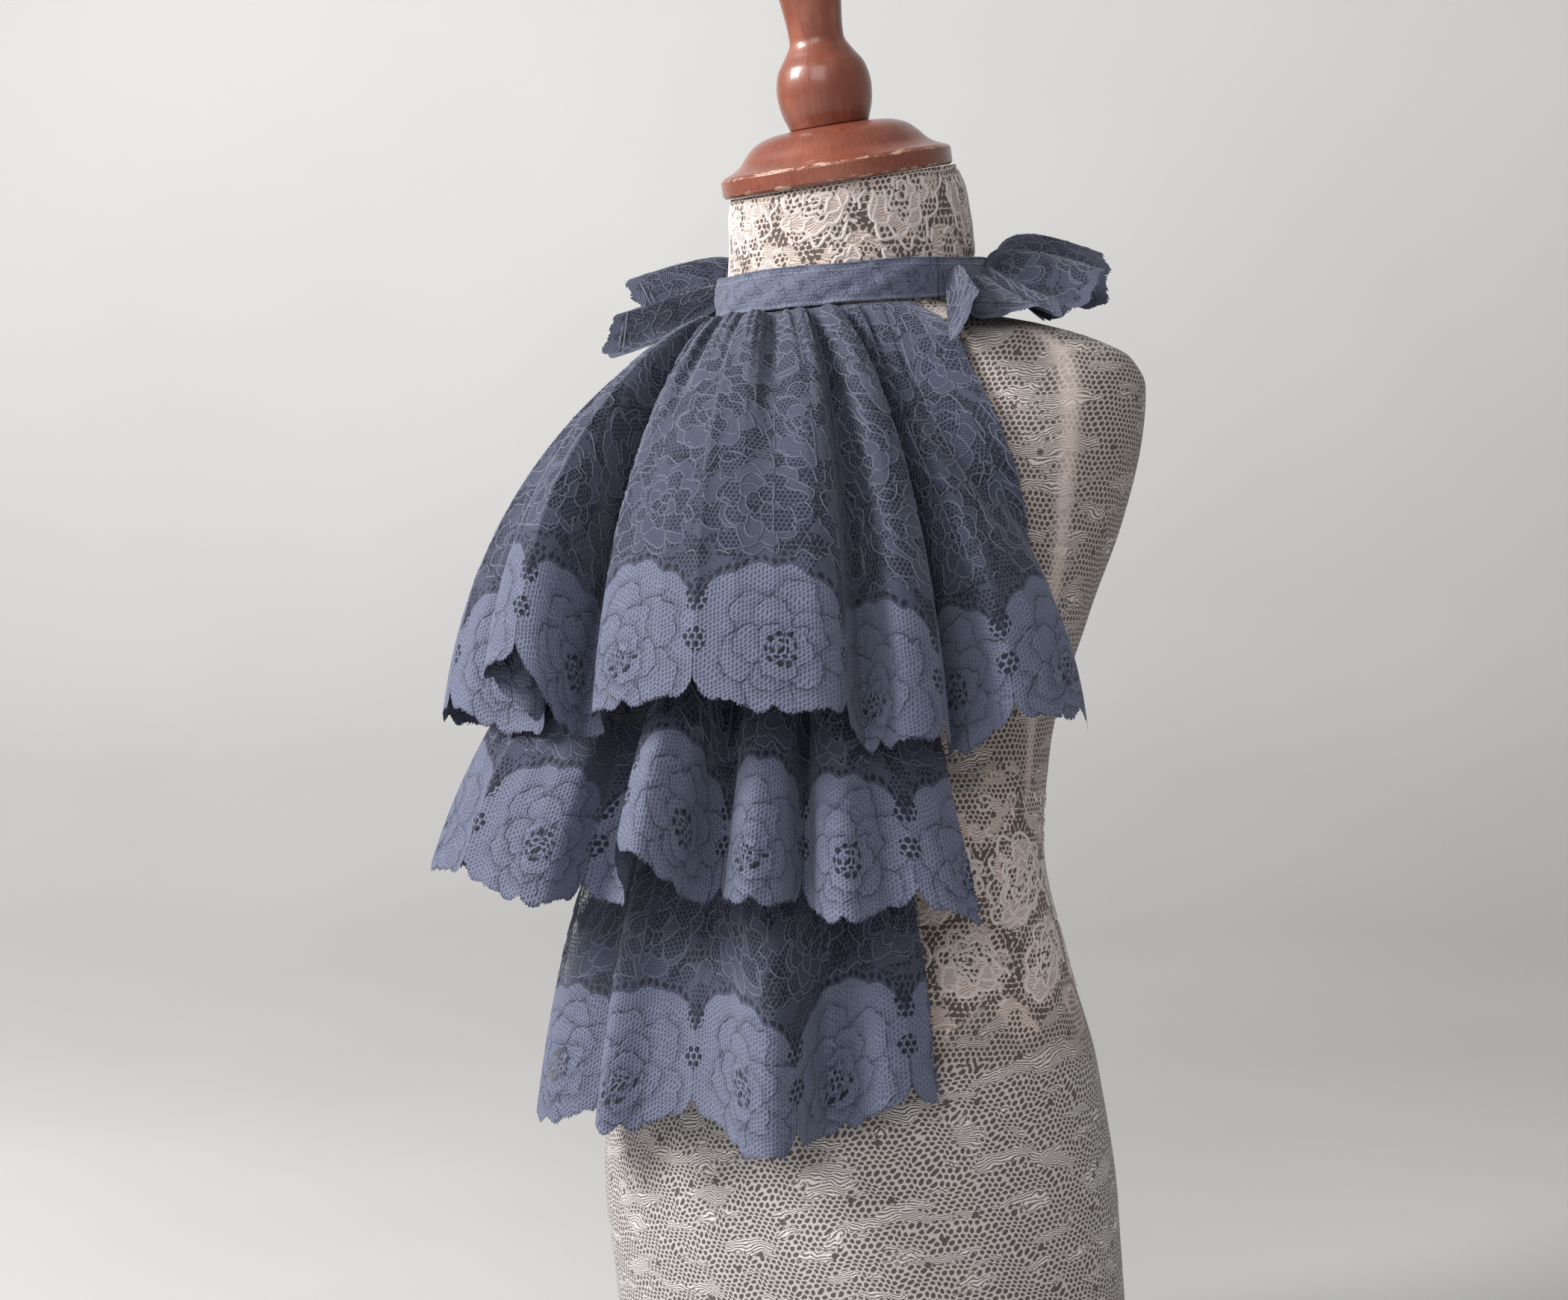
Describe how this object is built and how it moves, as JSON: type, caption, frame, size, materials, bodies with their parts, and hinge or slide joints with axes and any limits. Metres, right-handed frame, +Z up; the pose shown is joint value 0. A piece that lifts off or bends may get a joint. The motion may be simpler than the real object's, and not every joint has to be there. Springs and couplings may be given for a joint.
{
  "type": "lace jabot on a limbless dress form",
  "caption": "Tiered corded lace jabot with a gathered neck ruffle and plain neckband, standing on a small limbless dress form with a turned wooden neck cap.",
  "frame": {"origin": "centre of the form's flat base, on the surface that it stands on", "axes": "+Z up the form, -Y towards its front, +X towards the form's left side"},
  "size_m": [0.2934, 0.2841, 0.6815],
  "materials": {
    "blue_lace": "slate-blue corded lace, net ground with dense rose motifs",
    "band_lace": "slate-blue dense lace",
    "cream_lace": "cream lace stretched over a dark form",
    "red_wood": "satin red-brown varnish, worn at the rim"
  },
  "bodies": {
    "root": {"form_torso": "cream_lace", "neck_cap": "red_wood", "finial": "red_wood", "neckband_front": "band_lace", "neckband_back_right": "band_lace", "neckband_back_left": "band_lace", "backing_panel": "blue_lace", "tier_1": "blue_lace", "tier_2": "blue_lace", "tier_3": "blue_lace", "ruffle_left": "blue_lace", "ruffle_right": "blue_lace"}
  },
  "joints": []
}
